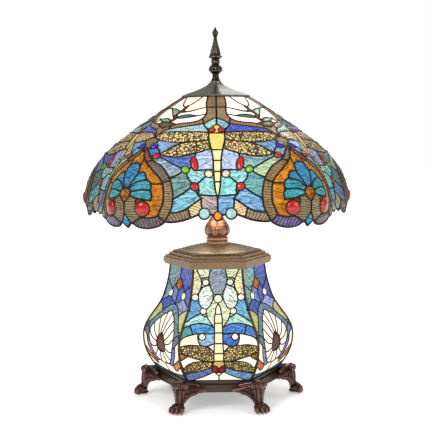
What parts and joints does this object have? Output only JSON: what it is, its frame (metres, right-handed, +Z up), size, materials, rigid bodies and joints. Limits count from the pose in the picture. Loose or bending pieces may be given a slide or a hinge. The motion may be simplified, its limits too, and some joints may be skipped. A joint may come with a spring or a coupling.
{
  "type": "table lamp",
  "caption": "Leaded glass table lamp: lobed domed shade with dragonfly and shell pattern on a six-sided glass and metal base with paw feet, topped by a turned finial.",
  "frame": {"origin": "on the lamp's axis, at the table surface that the feet stand on", "axes": "+Z up along the lamp's axis, -Y is the front, +X is the right-hand side as seen from the front"},
  "size_m": [0.4354, 0.4154, 0.5756],
  "materials": {
    "bronze": "satin red-brown bronze",
    "copper": "satin copper-brown",
    "dark_bronze": "dark antique bronze",
    "dark_steel": "dark paint",
    "lead": "darkened solder",
    "brass": "brushed",
    "black_plastic": "matte",
    "shade_glass": "streaked opalescent glass, lit from inside",
    "jewel_glass": "polished cast glass",
    "base_glass": "streaked opalescent glass, lit from inside",
    "bulb_glass": "frosted"
  },
  "bodies": {
    "lamp": {"base_ring": "bronze", "base_plate": "dark_steel", "cord_bushing": "black_plastic", "foot_0": "bronze", "foot_1": "bronze", "foot_2": "bronze", "foot_3": "bronze", "foot_4": "bronze", "foot_5": "bronze", "foot_screws": "brass", "base_panel_0": "base_glass", "base_panel_1": "base_glass", "base_panel_2": "base_glass", "base_panel_3": "base_glass", "base_panel_4": "base_glass", "base_panel_5": "base_glass", "base_cames": "lead", "base_rim": "dark_steel", "base_cover": "copper", "neck": "copper", "lamp_pipe": "brass", "pipe_nuts": "brass", "stem_tube": "brass", "cluster_body": "brass", "socket_front": "black_plastic", "socket_back": "black_plastic", "base_socket_stem": "brass", "base_socket": "black_plastic", "seat_disc": "brass", "finial_stud": "brass"},
    "shade": {"vase_cap": "dark_bronze", "shade_spider": "brass", "shade_sector_0": "shade_glass", "shade_sector_1": "shade_glass", "shade_sector_2": "shade_glass", "shade_sector_3": "shade_glass", "shade_sector_4": "shade_glass", "shade_ribs": "lead", "shade_jewels_0": "jewel_glass", "shade_jewels_1": "jewel_glass", "shade_jewels_2": "jewel_glass", "shade_jewels_3": "jewel_glass", "shade_jewels_4": "jewel_glass"},
    "bulb_front": {"bulb_front_cap": "brass", "bulb_front_glass": "bulb_glass"},
    "bulb_back": {"bulb_back_cap": "brass", "bulb_back_glass": "bulb_glass"},
    "base_bulb": {"base_bulb_cap": "brass", "base_bulb_glass": "bulb_glass"},
    "washer": {"finial_washer": "dark_bronze"},
    "finial": {"finial": "dark_bronze"}
  },
  "joints": [
    {"name": "shade_turn", "type": "hinge", "parent": "lamp", "child": "shade", "pos_m": [0, 0, 0.459], "axis": [0, 0, 1], "continuous": true},
    {"name": "finial_turn", "type": "hinge", "parent": "lamp", "child": "washer", "pos_m": [0, 0, 0.489], "axis": [0, 0, 1], "range_deg": [0, 2880]},
    {"name": "finial_rise", "type": "slide", "parent": "washer", "child": "finial", "axis": [0, 0, 1], "range_m": [0, 0.008]},
    {"name": "bulb_front_turn", "type": "hinge", "parent": "lamp", "child": "bulb_front", "pos_m": [0, -0.015, 0.336], "axis": [0, -0.9781, 0.2079], "continuous": true},
    {"name": "bulb_back_turn", "type": "hinge", "parent": "lamp", "child": "bulb_back", "pos_m": [0, 0.015, 0.336], "axis": [0, 0.9781, 0.2079], "continuous": true},
    {"name": "base_bulb_turn", "type": "hinge", "parent": "lamp", "child": "base_bulb", "pos_m": [0, 0.04, 0.08], "axis": [0, 0, 1], "continuous": true}
  ],
  "couplings": [
    {"joint": "finial_turn", "follows": "finial_rise", "rad_per_m": 6283.2}
  ]
}
